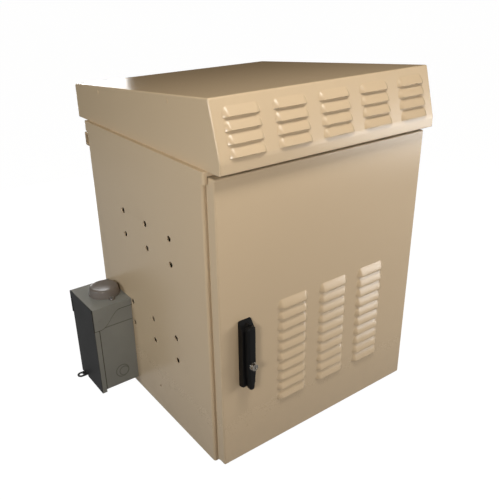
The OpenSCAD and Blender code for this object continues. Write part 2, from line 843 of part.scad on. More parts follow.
module hinge_rivets_door() color(cream) {
    hinge_rivet_heights() {
        bar_x([leaf_x1 - leaf_t - rivet_head_t, leaf_rivet_y, 0], rivet_head_t, rivet_head_r);
        bar_x([leaf_x1 - leaf_t, leaf_rivet_y, 0], leaf_t + door_sheet, rivet_r);
        bar_x([door_w / 2, leaf_rivet_y, 0], rivet_head_t, rivet_head_r);
    }
}

keeper_h = 50;
module latch_keeper() color(steel) {
    block([-side_x + bend_r, front_y + wall, handle_z - keeper_h / 2],
          [opening_left, keeper_back, handle_z + keeper_h / 2]);
}

// Door pan: face and four folded edges with rounded outer bends
module door_pan() {
    mid_z = (door_drop + door_top) / 2;
    difference() {
        translate([0, door_back, mid_z]) rotate([90, 0, 0]) linear_extrude(door_depth)
            rounded_rect(door_w, door_h, door_sheet / 2);
        translate([0, door_back + over, mid_z]) rotate([90, 0, 0])
            linear_extrude(door_depth - door_sheet + over)
                square([door_w - 2 * door_sheet, door_h - 2 * door_sheet], center = true);
        // Rounded bends along the two upright edges
        for (side = [0, 1]) mirror([side, 0, 0])
            translate([door_w / 2 - door_bend, door_front + door_bend, 0]) difference() {
                translate([0, -door_bend - over, -over])
                    cube([door_bend + over, door_bend + over, door_top + 2 * over]);
                translate([0, 0, -2 * over]) cylinder(h = door_top + 4 * over, r = door_bend);
            }
        // Rounded bends along the top and the bottom
        for (side = [0, 1]) translate([0, door_front + door_bend, mid_z]) mirror([0, 0, side])
            translate([0, 0, door_h / 2 - door_bend]) difference() {
                block([-door_w, -door_bend - over, 0], [door_w, 0, door_bend + over]);
                bar_x([-2 * door_w, 0, 0], 4 * door_w, door_bend);
            }
        // Shorter folded edge beside the hinge knuckles and the pin's heads
        block([leaf_x1 - over, relief_y, hinge_low - 2 * rivet_head_t],
              [door_w / 2 + over, door_back + over, hinge_low + hinge_l + 2 * rivet_head_t]);
    }
}

housing_screw_r = 2.5;
housing_screw_in = 14;
housing_screw_pitch = 56;
housing_screw_l = housing_t / 2;
housing_screw_z = [for (i = [0, 1]) housing_top - housing_l + housing_screw_in + i * housing_screw_pitch];
module housing_screw_places() {
    for (z = housing_screw_z) translate([handle_x, door_inner, z]) children();
}

module door_panel() color(cream) {
    difference() {
        union() {
            door_pan();
            door_louver_places() louver(door_louver_w, 0, door_sheet / 2);
        }
        door_louver_places() louver(door_louver_w, door_sheet, door_sheet + over);
        bar_y([handle_x, door_front - over, handle_z], door_sheet + 2 * over, boss_r + run_clear);
        housing_screw_places() bar_y([0, -door_sheet - over, 0], door_sheet + 2 * over,
                                     housing_screw_r + run_clear);
        hinge_rivet_heights() bar_x([leaf_x1 - over, leaf_rivet_y, 0], door_sheet + 2 * over,
                                    rivet_r + run_clear);
    }
}

gasket_w = 12;
gasket_out = 2.4;
module door_gasket() color(rubber) {
    x0 = opening_left - wall / 2;
    x1 = opening_right + wall / 2;
    z0 = lip_low - wall / 2;
    z1 = lip_high + wall / 2;
    translate([(x0 + x1) / 2, lip_front - face_clear, (z0 + z1) / 2]) rotate([90, 0, 0])
        linear_extrude(lip_front - face_clear - door_inner) difference() {
            rounded_rect(x1 - x0 + 2 * gasket_out, z1 - z0 + gasket_w, gasket_w / 3);
            rounded_rect(x1 - x0 - gasket_w, z1 - z0 - gasket_w, gasket_w / 3);
        }
}

filter_edge = 16;
filter_t = 10;
filter_frame_t = 1.5;
filter_w = (door_louver_cols - 1) * door_louver_pitch_x + door_louver_w + filter_edge;
filter_h = (door_louver_rows - 1) * door_louver_pitch_z + louver_h + filter_edge;
filter_mid = [door_louver_x, door_inner,
              door_louver_z + ((door_louver_rows - 1) * door_louver_pitch_z + louver_h) / 2];
module filter_frame() color(zinc) {
    translate(filter_mid) rotate([-90, 0, 0]) difference() {
        linear_extrude(filter_t + filter_frame_t) square([filter_w, filter_h], center = true);
        translate([0, 0, -over]) linear_extrude(filter_t + over)
            square([filter_w - 2 * filter_frame_t, filter_h - 2 * filter_frame_t], center = true);
        translate([0, 0, -over]) linear_extrude(filter_t + filter_frame_t + 2 * over)
            square([filter_w - 2 * filter_edge, filter_h - 2 * filter_edge], center = true);
    }
}

module air_filter() color(foam) {
    translate(filter_mid) rotate([-90, 0, 0]) linear_extrude(filter_t)
        square([filter_w - 2 * filter_frame_t - face_clear, filter_h - 2 * filter_frame_t - face_clear],
               center = true);
}

// Thin edge of the housing at its top, and the slope of its foot
housing_edge = 1.5;
housing_heel = 6;
pad_wall = 1.2;
spindle_pad_r = spindle_d / 2 + pad_wall;
// Housing of the swing handle: a wedge at the top clears the lever as it lifts
module handle_housing() color(black) {
    low = housing_top - housing_l;
    difference() {
        union() {
            intersection() {
                translate([handle_x, 0, 0]) along_x(housing_w)
                    polygon([[door_front, low], [door_front, housing_top],
                             [door_front - housing_edge, housing_top],
                             [housing_front, housing_top - housing_ramp],
                             [housing_front, low + housing_heel], [door_front - housing_edge, low]]);
                translate([handle_x, door_front + over, (low + housing_top) / 2]) rotate([90, 0, 0])
                    linear_extrude(housing_t + 2 * over) rounded_rect(housing_w, housing_l, 4);
            }
            bar_y([handle_x, door_front - over, handle_z], boss_l + over, boss_r);
            // Round pad that carries the spindle through the wedge
            bar_y([handle_x, housing_front, handle_z], housing_t, spindle_pad_r);
        }
        bar_y([handle_x, housing_front - over, handle_z], housing_t + boss_l + 2 * over,
              spindle_d / 2 + run_clear);
        housing_screw_places() bar_y([0, -door_sheet - housing_screw_l - over, 0],
                                     housing_screw_l + 2 * over, housing_screw_r + run_clear);
    }
}

module housing_screws() color(steel) {
    housing_screw_places() {
        bar_y([0, 0, 0], screw_head_t, 2 * housing_screw_r);
        bar_y([0, -door_sheet - housing_screw_l, 0], door_sheet + housing_screw_l, housing_screw_r);
    }
}

module handle_nut() color(steel) {
    translate([handle_x, door_inner, handle_z]) rotate([-90, 0, 0]) difference() {
        cylinder(h = nut_t, r = nut_flat / sqrt(3), $fn = 6);
        translate([0, 0, -over]) cylinder(h = nut_t + 2 * over, r = boss_r + run_clear);
    }
}

// Spindle: round eye for the lever's pin, shaft through the housing, square end for the cam
spindle_back = cam_front + cam_t - 0.5;
module handle_spindle() color(steel) {
    square_front = door_front + boss_l + face_clear;
    difference() {
        union() {
            bar_x([handle_x - eye_half, pin_y, handle_z], 2 * eye_half, eye_r);
            block([handle_x - eye_half, pin_y, handle_z - neck_half],
                  [handle_x + eye_half, door_front, handle_z + neck_half]);
            bar_y([handle_x, lever_back, handle_z], square_front - lever_back, spindle_d / 2);
            block([handle_x - square_w / 2, square_front - over, handle_z - square_w / 2],
                  [handle_x + square_w / 2, spindle_back, handle_z + square_w / 2]);
        }
        bar_x([handle_x - eye_half - over, pin_y, handle_z], 2 * eye_half + 2 * over,
              lever_pin_d / 2 + run_clear);
        bar_y([handle_x, spindle_back - cam_screw_l, handle_z], cam_screw_l + over,
              cam_screw_r + run_clear);
    }
}

eye_half = spindle_d / 2 - 1;
neck_half = spindle_d / 4;
cam_screw_r = 2;
cam_screw_l = 14;

module lever_pin() color(steel) {
    bar_x([handle_x - lever_w / 2, pin_y, handle_z], lever_w, lever_pin_d / 2);
}

// Latch cam, drawn pointing up: the latch is drawn back at rest
module latch_cam() color(steel) {
    translate([handle_x, cam_front + cam_t, handle_z]) rotate([90, 0, 0]) linear_extrude(cam_t)
        difference() {
            union() {
                circle(cam_hub_r);
                translate([0, cam_reach - cam_tip_r]) circle(cam_tip_r);
                polygon([[-cam_hub_r, 0], [cam_hub_r, 0], [cam_tip_r, cam_reach - cam_tip_r],
                         [-cam_tip_r, cam_reach - cam_tip_r]]);
            }
            square(square_w + 2 * run_clear, center = true);
        }
}

module cam_screw() color(steel) {
    bar_y([handle_x, cam_front + cam_t, handle_z], screw_head_t, square_w);
    bar_y([handle_x, spindle_back - cam_screw_l + over, handle_z], cam_screw_l - over + cam_t, cam_screw_r);
}

// Lever outline seen from the front, from its round top to its tapered round tip
lever_tip_r = lever_w * 0.32;
lever_taper_z = -lever_l * 0.72;
module lever_outline() {
    top_z = lever_top_r - lever_w / 2;
    translate([0, top_z]) circle(lever_w / 2);
    translate([0, -lever_l + lever_tip_r]) circle(lever_tip_r);
    polygon([[-lever_w / 2, top_z], [-lever_w / 2, lever_taper_z], [-lever_tip_r, -lever_l + lever_tip_r],
             [lever_tip_r, -lever_l + lever_tip_r], [lever_w / 2, lever_taper_z], [lever_w / 2, top_z]]);
}

// A bevelled length of the lever's front between two heights, each with its own half width
module lever_wedge(y0, y1, half0, half1) {
    c = lever_chamfer;
    polyhedron(points = [[-half0, y0, 0], [half0, y0, 0], [half1, y1, 0], [-half1, y1, 0],
                         [-half0 + c, y0, c], [half0 - c, y0, c], [half1 - c, y1, c], [-half1 + c, y1, c]],
               faces = [[4, 5, 6, 7], [3, 2, 1, 0], [0, 1, 5, 4], [1, 2, 6, 5], [2, 3, 7, 6], [3, 0, 4, 7]]);
}

// Lever lying on its back: plain outline below, then a bevel all round its front
module lever_solid() {
    top_z = lever_top_r - lever_w / 2;
    tip_z = -lever_l + lever_tip_r;
    plain = lever_t - lever_chamfer;
    linear_extrude(plain) lever_outline();
    translate([0, 0, plain]) {
        translate([0, top_z, 0])
            cylinder(h = lever_chamfer, r1 = lever_w / 2, r2 = lever_w / 2 - lever_chamfer);
        translate([0, tip_z, 0])
            cylinder(h = lever_chamfer, r1 = lever_tip_r, r2 = lever_tip_r - lever_chamfer);
        lever_wedge(top_z, lever_taper_z, lever_w / 2, lever_w / 2);
        lever_wedge(lever_taper_z, tip_z, lever_w / 2, lever_tip_r);
    }
}

module handle_lever() color(black) {
    slot_half = eye_half + face_clear;
    slot_r = eye_r + face_clear;
    difference() {
        translate([handle_x, lever_back, handle_z]) rotate([90, 0, 0]) lever_solid();
        // Back of the top end is rounded about the pin, so that the lever can lift
        translate([handle_x, pin_y, handle_z]) difference() {
            block([-lever_w, 0, 0], [lever_w, lever_t, lever_t]);
            bar_x([-2 * lever_w, 0, 0], 4 * lever_w, lever_top_r);
        }
        // Slot for the spindle's eye, open to the back, where its neck swings
        bar_x([handle_x - slot_half, pin_y, handle_z], 2 * slot_half, slot_r);
        block([handle_x - slot_half, pin_y, handle_z - slot_r],
              [handle_x + slot_half, lever_back + over, handle_z + lever_w]);
        bar_x([handle_x - lever_w, pin_y, handle_z], 2 * lever_w, lever_pin_d / 2 + run_clear);
        bar_y([handle_x, lever_front - over, lock_z], lever_t + 2 * over, lock_d / 2 + run_clear);
    }
}

lock_back = lever_back - 1;
lock_collar = 1.5;
lock_floor = 2;
plug_sink = 0.8;
keyway_w = 1.6;
keyway_half = plug_r * 0.7;
keyway_depth = 6;
module lock_barrel() color(steel) {
    l = lock_back - lever_front + lock_reach;
    difference() {
        union() {
            bar_y([handle_x, lever_front - lock_reach, lock_z], l, lock_d / 2);
            bar_y([handle_x, lever_front - lock_collar, lock_z], lock_collar, lock_d / 2 + lock_collar);
        }
        bar_y([handle_x, lever_front - lock_reach - over, lock_z], l - lock_floor + over,
              plug_r + run_clear);
    }
}

module lock_plug() color(steel) {
    front = lever_front - lock_reach + plug_sink;
    difference() {
        bar_y([handle_x, front, lock_z], lock_back - lock_floor - face_clear - front, plug_r);
        block([handle_x - keyway_w / 2, front - over, lock_z - keyway_half],
              [handle_x + keyway_w / 2, front + keyway_depth, lock_z + keyway_half]);
    }
}

box_screw_r = 3;
seam_w = 1;
ring_off = 46;
ring_rise = 41;
ring_r = 19;
ring_step = 5;
ring_shift = 5;

// Room for the cover's top edge, which swings in above the pivots: the pivots keep a round ear
swing_clear = 0.7;
swing_end = 38;
module cover_swing() {
    ear_r = pivot_x - cover_face - box_t - swing_clear;
    translate([pivot_x, box_y + cap_half, pivot_z]) rotate([90, 0, 0]) linear_extrude(box_w) difference() {
        polygon([[0, 0], [-box_reach, 0], [-box_reach, box_h], [box_reach, box_h],
                 [box_reach, box_reach * tan(swing_end)]]);
        circle(r = ear_r);
    }
}

// Outlet box: back, two sides and floor, open to the cover and under the cap
module outlet_box() color(grey) {
    back = -side_x;
    groove = box_t / 3;
    seam_z = box_top - cap_wing_low + 2 * seam_w;
    ring_x = back - ring_off;
    ring_z = box_z + ring_rise;
    difference() {
        block([base_front, box_y - base_half, box_z], [back, box_y + base_half, box_top - box_t]);
        block([base_front - over, box_y - base_half + box_t, box_z + box_t],
              [back - box_t, box_y + base_half - box_t, box_top + over]);
        // Seam of the upper part of each side, and the ring knockouts
        for (y = [box_y - base_half - over, box_y + base_half - groove])
            block([base_front + cover_flange, y, seam_z], [back, y + groove + over, seam_z + seam_w]);
        translate([0, box_y - base_half - over, 0]) {
            knockout_ring(ring_x, ring_z, ring_r, groove + over);
            knockout_ring(ring_x + ring_shift, ring_z - ring_shift / 2, ring_r - ring_step, groove + over);
        }
        box_screw_places() bar_x([-box_t - over, 0, 0], box_t + 2 * over, box_screw_r + run_clear);
        bar_x([back - box_t - over, box_y, nipple_z], box_t + 2 * over, nipple_r + run_clear);
        bar_y([pivot_x, box_y - cap_half, pivot_z], box_w, pivot_d / 2 + run_clear);
        cover_swing();
    }
}

module knockout_ring(x, z, r, depth) {
    translate([x, 0, z]) rotate([-90, 0, 0]) difference() {
        cylinder(h = depth, r = r);
        translate([0, 0, -over]) cylinder(h = depth + 2 * over, r = r - seam_w);
    }
}

// Side view of the cap's wing: flat at the wall, an S-curve, then flat at the cover
wing_start = 0.3;
wing_end = 0.82;
wing_steps = 16;
function wing_z(x, x0, x1) =
    let (share = min(1, max(0, (x - x0) / (x1 - x0))))
    -cap_wing_high - (cap_wing_low - cap_wing_high) * (1 - cos(180 * share)) / 2;

module wing_outline() {
    reach = box_reach;
    s0 = wing_start * reach;
    s1 = wing_end * reach;
    polygon(concat([[0, 0], [0, -cap_wing_high]],
                   [for (i = [0:wing_steps])
                       let (x = s0 + (s1 - s0) * i / wing_steps) [x, wing_z(x, s0, s1)]],
                   [[reach, -cap_wing_low], [reach, 0]]));
}

module outlet_cap() color(grey) {
    difference() {
        union() {
            block([box_face, box_y - cap_half, box_top - box_t], [-side_x, box_y + cap_half, box_top]);
            block([box_face, box_y - cap_half, box_top - cap_skirt],
                  [box_face + box_t, box_y + cap_half, box_top]);
            for (y = [box_y - cap_half, box_y + cap_half - box_t])
                translate([-side_x, y, box_top]) mirror([1, 0, 0]) rotate([90, 0, 0])
                    translate([0, 0, -box_t]) linear_extrude(box_t) wing_outline();
        }
        translate([hub_x, box_y, box_top - box_t - over]) cylinder(h = box_t + 2 * over, r = hub_hole_r);
        hub_screw_places() translate([0, 0, -box_t - over])
            cylinder(h = box_t + 2 * over, r = hub_screw_r + run_clear);
        bar_y([pivot_x, box_y - cap_half - over, pivot_z], box_w + 2 * over, pivot_d / 2 + run_clear);
    }
}

pivot_head = 2.5;
pivot_head_t = 1;
// Pivot rivets through the cap's wings, the cover's ears and the box's sides
module cover_pivots() color(grey) {
    stack = cap_half - base_half + box_t;
    for (side = [0, 1])
        translate([pivot_x, box_y, pivot_z]) mirror([0, side, 0]) {
            bar_y([0, -cap_half - pivot_head_t, 0], pivot_head_t, pivot_d / 2 + pivot_head);
            bar_y([0, -cap_half, 0], stack, pivot_d / 2);
            bar_y([0, -cap_half + stack, 0], pivot_head_t, pivot_d / 2 + pivot_head);
        }
}

hub_screw_r = 2;
hub_screw_head_r = 5.5;
hub_slot = 1.2;
hub_ear_r = 8;
hub_ear = hub_r + 4.5;
hub_flange_t = 3;
hub_step = 2;
hub_wall = 3;
hub_round = 5;
hub_top_r = hub_r - 9;
hub_hole_r = hub_top_r - hub_wall;
dish_r = 320;
dish_depth = 1.4;
module hub_screw_places() {
    for (y = [-1, 1]) translate([hub_x, box_y + y * hub_ear, box_top]) children();
}

// Hub closing cap: flange with two ears, tapered round wall, shallow dished top, hollow below
module hub_cap() color("#6A6058") {
    foot_r = hub_r - hub_step;
    difference() {
        union() {
            translate([hub_x, box_y, box_top]) linear_extrude(hub_flange_t) {
                circle(hub_r);
                for (y = [-1, 1]) {
                    translate([0, y * hub_ear]) circle(hub_ear_r);
                    translate([0, y * hub_ear / 2]) square([2 * hub_ear_r, hub_ear], center = true);
                }
            }
            translate([hub_x, box_y, box_top]) rotate_extrude($fn = 96) {
                polygon([[0, 0], [foot_r, 0], [foot_r, hub_flange_t + hub_step],
                         [hub_top_r + hub_round, hub_h - hub_round], [hub_top_r, hub_h - hub_round],
                         [hub_top_r, hub_h], [0, hub_h]]);
                translate([hub_top_r, hub_h - hub_round]) circle(hub_round);
            }
        }
        translate([hub_x, box_y, box_top + hub_h - dish_depth + dish_r]) sphere(r = dish_r, $fn = 128);
        translate([hub_x, box_y, box_top - over])
            cylinder(h = hub_h - hub_wall - dish_depth + over, r = hub_hole_r);
        hub_screw_places() translate([0, 0, -over])
            cylinder(h = hub_flange_t + 2 * over, r = hub_screw_r + run_clear);
    }
}

module hub_screws() color(steel) {
    hub_screw_places() {
        translate([0, 0, hub_flange_t]) difference() {
            cylinder(h = screw_head_t, r = hub_screw_head_r);
            translate([-hub_screw_head_r - over, -hub_slot / 2, screw_head_t - hub_slot])
                cube([2 * hub_screw_head_r + 2 * over, hub_slot, hub_slot + over]);
        }
        translate([0, 0, -screw_grip]) cylinder(h = screw_grip + hub_flange_t, r = hub_screw_r);
    }
}

// Tab for a padlock: fixed under the box's floor, it reaches out through the cover's notch
module padlock_tab() color(grey) {
    tip = box_face - tab_reach + tab_w / 2;
    translate([0, 0, box_z - tab_t]) linear_extrude(tab_t) difference() {
        union() {
            translate([tip, tab_y - tab_w / 2]) square([-side_x - box_reach / 2 - tip, tab_w]);
            translate([tip, tab_y]) circle(tab_w / 2);
        }
        translate([tip, tab_y]) circle(tab_hole_r);
    }
}

dead_back = 30;
dead_x = base_front + dead_back;
dead_t = box_t;
dead_over = 6;
dead_top = pivot_z + dead_over;
dead_lip = 12;
recept_proud = 4;
recept_l = 30;
recept_step = 4;
blade_off = 11;
blade_w = 2.4;
blade_l = 14;
earth_drop = 15;
earth_r = 3;
slot_depth = 12;
breaker_proud = 3;
recept_z = box_z + recept_rise;
recept_r = 30;
breaker_z = box_z + breaker_rise;
breaker_w = 26;
breaker_h = 72;
breaker_depth = 52;

// Dead front: panel with turned-back edges between the box's sides
module dead_front() color(grey) {
    half = base_half - box_t;
    difference() {
        union() {
            block([dead_x, box_y - half, box_z + box_t], [dead_x + dead_t, box_y + half, dead_top]);
            for (y = [box_y - half, box_y + half - dead_t])
                block([dead_x, y, box_z + box_t], [dead_x + dead_lip, y + dead_t, dead_top]);
        }
        bar_x([dead_x - over, box_y, recept_z], dead_t + 2 * over, recept_r - recept_step);
        block([dead_x - over, box_y - breaker_w / 2 - face_clear, breaker_z - breaker_h / 4],
              [dead_x + dead_t + over, box_y + breaker_w / 2 + face_clear, breaker_z + breaker_h / 4]);
    }
}

// Receptacle: round face with two blade slots and an earth hole, body behind the panel
module receptacle() color(black) {
    face = dead_x - recept_proud;
    difference() {
        union() {
            bar_x([face, box_y, recept_z], recept_proud + dead_t, recept_r - recept_step - run_clear);
            bar_x([dead_x + dead_t, box_y, recept_z], recept_l, recept_r);
        }
        for (side = [-1, 1])
            block([face - over, box_y + side * blade_off - blade_w / 2, recept_z - blade_l / 2],
                  [face + slot_depth, box_y + side * blade_off + blade_w / 2, recept_z + blade_l / 2]);
        bar_x([face - over, box_y, recept_z - earth_drop], slot_depth + over, earth_r);
    }
}

toggle_r = 7;
toggle_x = dead_x - 1;
toggle_side = 5;
toggle_l = 15;
toggle_root = 3.5;
toggle_end = 2.2;
toggle_tilt = 20;
module breaker() color(black) {
    y0 = box_y - breaker_w / 2;
    difference() {
        union() {
            block([dead_x - breaker_proud, y0, breaker_z - breaker_h / 4 + face_clear],
                  [dead_x + dead_t, y0 + breaker_w, breaker_z + breaker_h / 4 - face_clear]);
            block([dead_x + dead_t, y0, breaker_z - breaker_h / 2],
                  [dead_x + breaker_depth, y0 + breaker_w, breaker_z + breaker_h / 2]);
        }
        bar_y([toggle_x, y0 + toggle_side, breaker_z], breaker_w - 2 * toggle_side, toggle_r + face_clear);
    }
}

// Toggle: round hub in the breaker's face with a tapered finger
module breaker_toggle() color("#D8D8D2") {
    w = breaker_w - 2 * toggle_side - 2 * face_clear;
    translate([toggle_x, box_y + w / 2, breaker_z]) rotate([90, 0, 0]) linear_extrude(w) {
        circle(toggle_r);
        rotate(-toggle_tilt)
            polygon([[0, -toggle_root], [0, toggle_root],
                     [-toggle_l, toggle_end], [-toggle_l, -toggle_end]]);
    }
}

nipple_wall = 2.5;
nipple_flange = 4;
nipple_head = 5;
nipple_out = 14;
locknut_t = 5;
locknut_over = 7;
module conduit_nipple() color(zinc) {
    reach = box_t + wall + nipple_out;
    difference() {
        union() {
            bar_x([-side_x - box_t - nipple_flange, box_y, nipple_z], nipple_flange, nipple_r + nipple_head);
            bar_x([-side_x - box_t, box_y, nipple_z], reach, nipple_r);
        }
        bar_x([-side_x - box_t - nipple_flange - over, box_y, nipple_z], reach + nipple_flange + 2 * over,
              nipple_r - nipple_wall);
    }
}

module nipple_locknut() color(zinc) {
    translate([-inner_x, box_y, nipple_z]) rotate([0, 90, 0]) difference() {
        cylinder(h = locknut_t, r = nipple_r + locknut_over, $fn = 8);
        translate([0, 0, -over]) cylinder(h = locknut_t + 2 * over, r = nipple_r + run_clear);
    }
}

module box_screws() color(steel) {
    box_screw_places() {
        bar_x([-box_t - screw_head_t, 0, 0], screw_head_t, 2 * box_screw_r);
        bar_x([-box_t, 0, 0], box_t + wall + screw_grip, box_screw_r);
    }
}

// Cover: face with folded edges and two ears that turn on the pivot rivets
module outlet_cover() color(grey) {
    low = box_z - cover_drop;
    high = box_top - cap_skirt + 2;
    ear_r = 1.5 * pivot_d;
    difference() {
        union() {
            block([cover_face, box_y - cover_half, low], [cover_face + box_t, box_y + cover_half, high]);
            for (y = [box_y - cover_half, box_y + cover_half - box_t]) {
                block([cover_face, y, low], [cover_face + cover_flange, y + box_t, pivot_z]);
                block([cover_face, y, pivot_z - ear_r], [pivot_x, y + box_t, pivot_z + ear_r]);
                bar_y([pivot_x, y, pivot_z], box_t, ear_r);
            }
            block([cover_face, box_y - cover_half, low],
                  [cover_face + cover_flange, box_y + cover_half, low + box_t]);
        }
        bar_y([pivot_x, box_y - cap_half, pivot_z], box_w, pivot_d / 2 + run_clear);
        // Notch for the padlock tab
        block([cover_face - over, tab_y - tab_w / 2 - box_t, low - over],
              [cover_face + cover_flange + over, tab_y + tab_w / 2 + box_t, box_z + box_t]);
    }
}

body_shell();
base_plate();
door_sill();
door_header();
lid();
vent_screen();
hood_shell();
hood_braces();
hood_rivets();
hood_screws();
rear_rail_upper();
rear_rail_lower();
rack_rail_left();
rack_rail_right();
shelf_brackets();
equipment_shelf();
ground_standoffs();
ground_bar();
ground_screws();
cable_grommets();
hinge_leaf_body();
hinge_rivets_body();
hinge_pin();
latch_keeper();
door_panel();
hinge_leaf_door();
hinge_rivets_door();
door_gasket();
filter_frame();
air_filter();
handle_housing();
housing_screws();
handle_nut();
handle_spindle();
lever_pin();
latch_cam();
cam_screw();
handle_lever();
lock_barrel();
lock_plug();
outlet_box();
outlet_cap();
cover_pivots();
hub_cap();
hub_screws();
padlock_tab();
dead_front();
receptacle();
breaker();
breaker_toggle();
conduit_nipple();
nipple_locknut();
box_screws();
outlet_cover();
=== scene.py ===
import json
import math

import bpy
import numpy as np
from mathutils import Matrix, Vector


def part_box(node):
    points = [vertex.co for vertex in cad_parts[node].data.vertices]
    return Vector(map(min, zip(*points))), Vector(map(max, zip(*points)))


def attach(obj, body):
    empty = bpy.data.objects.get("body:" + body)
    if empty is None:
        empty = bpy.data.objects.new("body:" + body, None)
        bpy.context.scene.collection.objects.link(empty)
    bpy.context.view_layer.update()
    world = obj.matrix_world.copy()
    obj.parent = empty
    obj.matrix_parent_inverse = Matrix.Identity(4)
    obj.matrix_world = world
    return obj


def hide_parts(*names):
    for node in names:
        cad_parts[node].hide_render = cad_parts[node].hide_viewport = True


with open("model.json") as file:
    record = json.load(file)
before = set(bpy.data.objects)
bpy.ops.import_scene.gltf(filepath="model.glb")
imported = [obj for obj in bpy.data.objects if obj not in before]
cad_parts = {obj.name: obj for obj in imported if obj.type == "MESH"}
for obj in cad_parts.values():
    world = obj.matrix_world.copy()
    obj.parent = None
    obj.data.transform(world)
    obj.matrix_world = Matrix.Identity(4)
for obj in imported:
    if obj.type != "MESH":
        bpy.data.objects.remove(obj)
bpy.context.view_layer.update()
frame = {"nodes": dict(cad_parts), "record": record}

print("frame loaded:", len(frame["nodes"]), "nodes")


class Field:
    # one output in a node tree; arithmetic on it adds Math nodes
    def __init__(self, tree, socket):
        self.tree, self.socket = tree, socket

    def node(self, kind, settings=None, inputs=None, output=0):
        made = self.tree.nodes.new(kind)
        for key, value in (settings or {}).items():
            setattr(made, key, value)
        for key, value in (inputs or {}).items():
            if isinstance(value, Field):
                self.tree.links.new(value.socket, made.inputs[key])
            else:
                made.inputs[key].default_value = value
        return Field(self.tree, made.outputs[output])

    def into(self, target):
        self.tree.links.new(self.socket, target)

    def math(self, operation, *values):
        return self.node("ShaderNodeMath", {"operation": operation}, dict(enumerate(values)))

    def clamped(self):
        return self.node("ShaderNodeClamp", None, {0: self})

    def noise(self, scale, detail=2.0, roughness=0.5):
        return self.node("ShaderNodeTexNoise", None, {
            "Vector": self, "Scale": scale, "Detail": detail, "Roughness": roughness})

    def part(self, axis):
        return self.node("ShaderNodeSeparateXYZ", None, {0: self}, axis)

    def length(self):
        return self.node("ShaderNodeVectorMath", {"operation": "LENGTH"}, {0: self}, 1)

    def mixed(self, first, second):  # first where the field is 0, second where it is 1
        return self.node("ShaderNodeMix", {"data_type": "RGBA"},
                         {0: self, 6: first, 7: second}, 2)

    def __add__(self, other):
        return self.math("ADD", self, other)

    def __sub__(self, other):
        return self.math("SUBTRACT", self, other)

    def __rsub__(self, other):
        return self.math("SUBTRACT", other, self)

    def __mul__(self, other):
        return self.math("MULTIPLY", self, other)

    def __truediv__(self, other):
        return self.math("DIVIDE", self, other)

    def __pow__(self, other):
        return self.math("POWER", self, other)

    __radd__ = __add__
    __rmul__ = __mul__


def colour(red, green, blue):
    return (red, green, blue, 1.0)


def newFinish(name):
    material = bpy.data.materials.new(name)
    material.use_nodes = True
    tree = material.node_tree
    place = Field(tree, tree.nodes.new("ShaderNodeTexCoord").outputs["Object"])
    return material, tree.nodes["Principled BSDF"], place


def bumped(shader, height, strength, distance):
    bump = height.node("ShaderNodeBump", None, {
        "Height": height, "Strength": strength, "Distance": distance})
    bump.into(shader.inputs["Normal"])


# in the finishes a noise is given as (scale, detail, roughness)
coatSpec = {
    "tone": colour(0.640, 0.487, 0.315),
    "paler": colour(0.690, 0.530, 0.346),
    "dust": colour(0.420, 0.335, 0.235),
    "drift": (2.4, 3.0), "peel": (330.0, 1.5), "speck": (1500.0, 1.0), "dirt": (26.0, 4.0),
    "dirtTop": 0.16, "dirtShare": 0.35, "speckShare": 0.08,
    "roughness": 0.22, "peelRoughness": 0.06, "dirtRoughness": 0.2,
    "speckHeight": 0.25, "strength": 0.10, "distance": 0.0006, "gloss": 0.40,
}


def creamCoat():
    # powder coat: slow drift of tone, fine speckle, orange peel, a little dust low down
    spec = coatSpec
    material, shader, place = newFinish("creamCoat")
    drift, peel, speck, dirt = (place.noise(*spec[key])
                                for key in ("drift", "peel", "speck", "dirt"))
    low = (1 - place.part("Z") / spec["dirtTop"]).clamped() * dirt
    base = drift.mixed(spec["tone"], spec["paler"])
    base = (low * spec["dirtShare"]).clamped().mixed(base, spec["dust"])
    base = (speck * spec["speckShare"]).mixed(base, spec["dust"])
    base.into(shader.inputs["Base Color"])
    rough = spec["roughness"] + peel * spec["peelRoughness"] + low * spec["dirtRoughness"]
    rough.into(shader.inputs["Roughness"])
    bumped(shader, peel + speck * spec["speckHeight"], spec["strength"], spec["distance"])
    shader.inputs["Specular IOR Level"].default_value = spec["gloss"]
    return material


paintSpec = {
    "cloud": (14.0, 4.0), "rub": (90.0, 5.0, 0.65), "fine": (900.0, 1.0),
    "shade": 0.82, "rubGain": 6, "rubCut": 3.7, "rubShare": 0.35,
    "cloudRoughness": 0.12, "rubRoughness": 0.06, "distance": 0.0004,
}


def satinPaint(name, tone, worn, roughness, gloss, strength=0.12, marks=()):
    # thin satin paint: cloudy tone, rubbed specks, fine peel; marks, as (mask, colour), lie over it
    spec = paintSpec
    material, shader, place = newFinish(name)
    cloud, rub, fine = (place.noise(*spec[key]) for key in ("cloud", "rub", "fine"))
    rub = (rub * spec["rubGain"] - spec["rubCut"]).clamped()
    base = cloud.mixed(tone, colour(*(spec["shade"] * c for c in tone[:3])))
    base = (rub * spec["rubShare"]).mixed(base, worn)
    for mask, mark in marks:
        base = mask(place).mixed(base, mark)
    base.into(shader.inputs["Base Color"])
    rough = roughness + cloud * spec["cloudRoughness"] - rub * spec["rubRoughness"]
    rough.into(shader.inputs["Roughness"])
    bumped(shader, fine, strength, spec["distance"])
    shader.inputs["Specular IOR Level"].default_value = gloss
    return material


metalSpec = {
    "scratch": (1.0, 3.0, 0.6), "cloud": (30.0, 3.0),
    "scratchRoughness": 0.16, "cloudRoughness": 0.08, "strength": 0.05, "distance": 0.0003,
}


